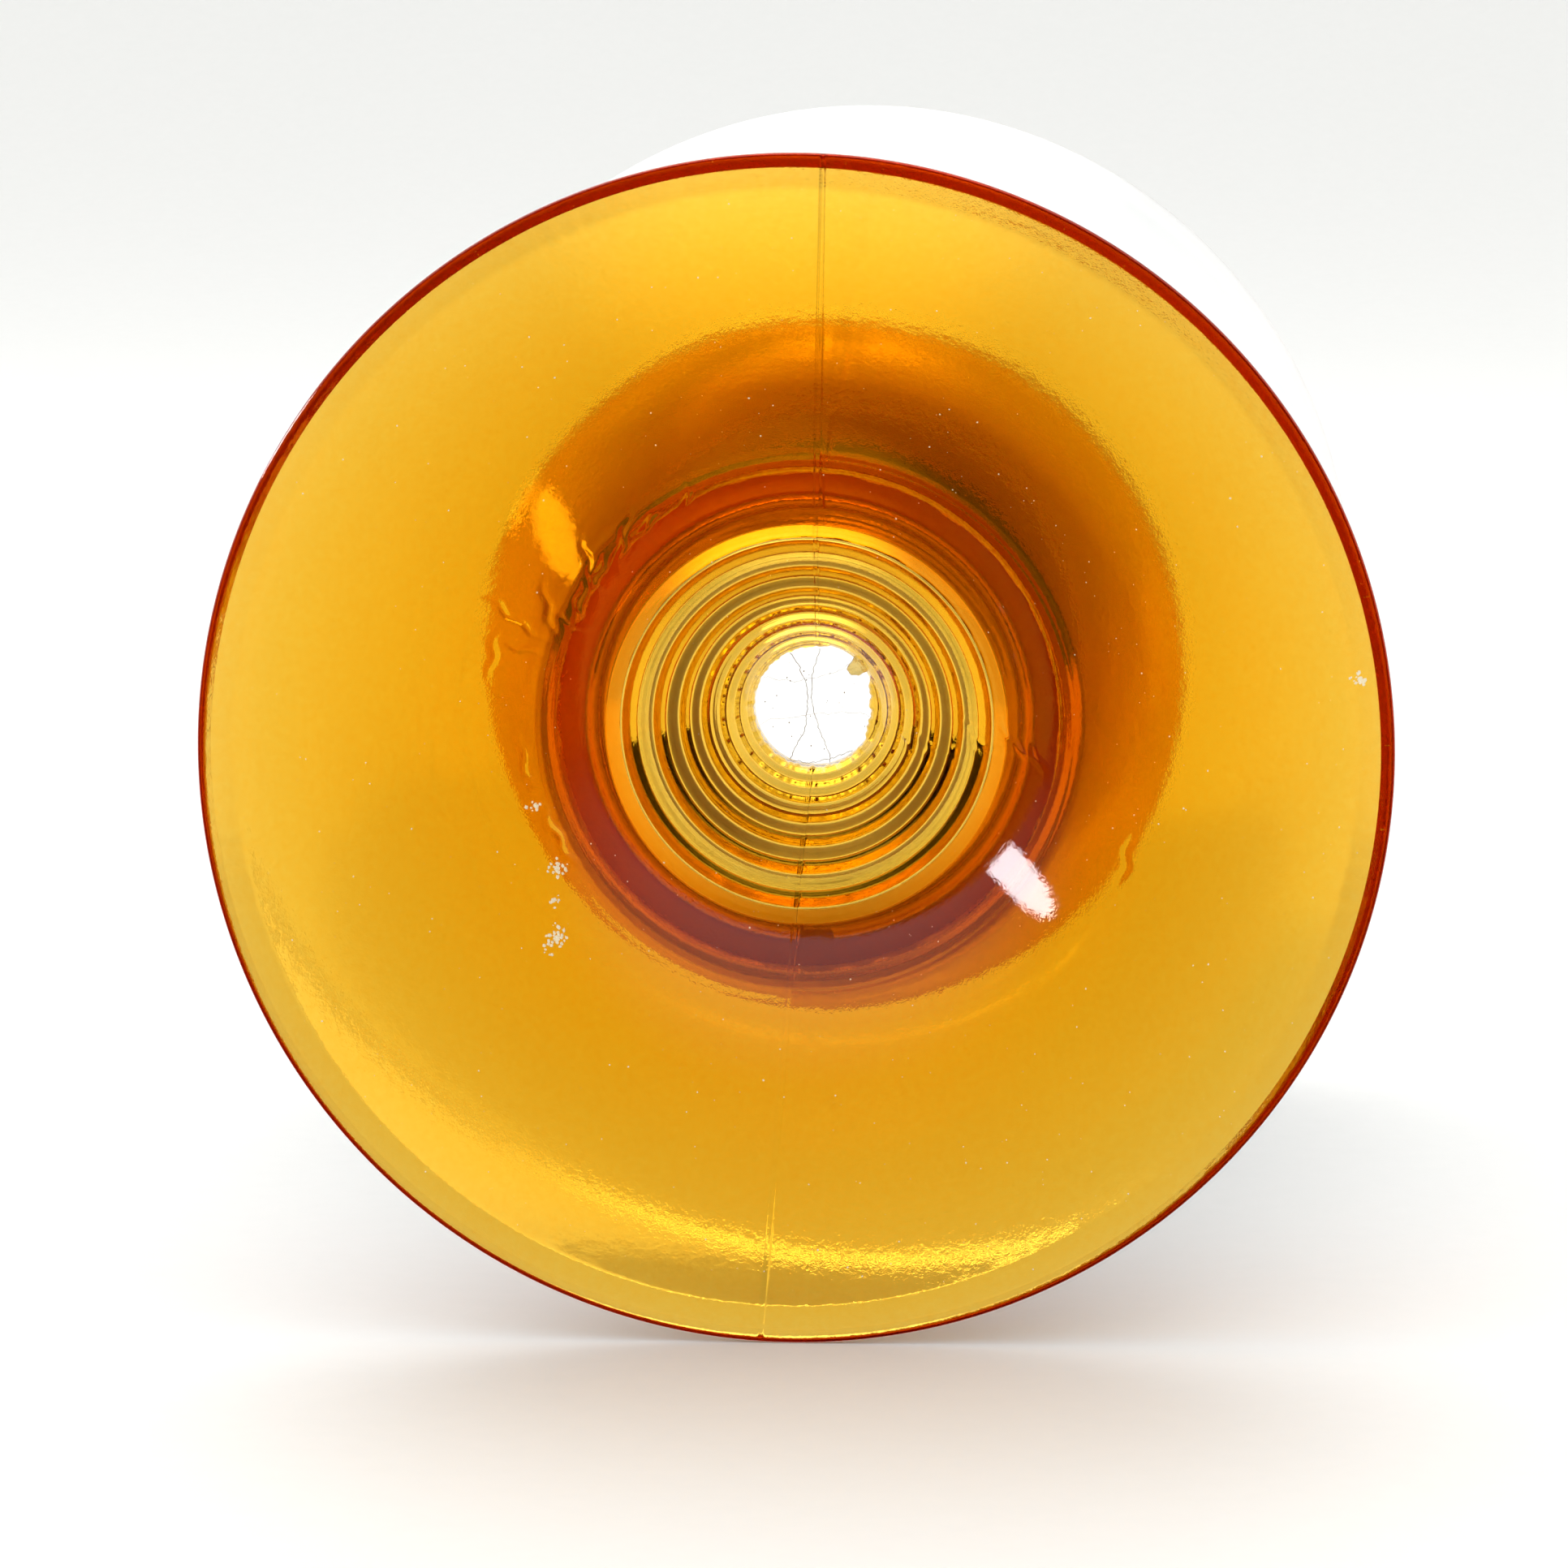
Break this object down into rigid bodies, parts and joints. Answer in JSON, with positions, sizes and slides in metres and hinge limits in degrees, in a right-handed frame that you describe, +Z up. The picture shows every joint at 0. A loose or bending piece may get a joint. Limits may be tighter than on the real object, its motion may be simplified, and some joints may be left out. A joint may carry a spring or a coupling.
{
  "type": "glass insulator",
  "caption": "Double-bell glass insulator: an amber bell with a ringed funnel and bolt bore, cemented on the hollow plug of a colourless flared bell.",
  "frame": {"origin": "on the surface the insulator lies on, midway between its two rims", "axes": "+Z up, +Y along the insulator's axis from the amber rim to the colourless rim"},
  "size_m": [0.1, 0.14, 0.1],
  "materials": {
    "amber_glass": "pressed, glossy, amber",
    "clear_glass": "pressed, glossy, colourless",
    "joint_cement": "hard tan-brown cement"
  },
  "bodies": {
    "root": {"glass_bell_amber": "amber_glass", "joint_cement": "joint_cement", "glass_bell_clear": "clear_glass"}
  },
  "joints": []
}
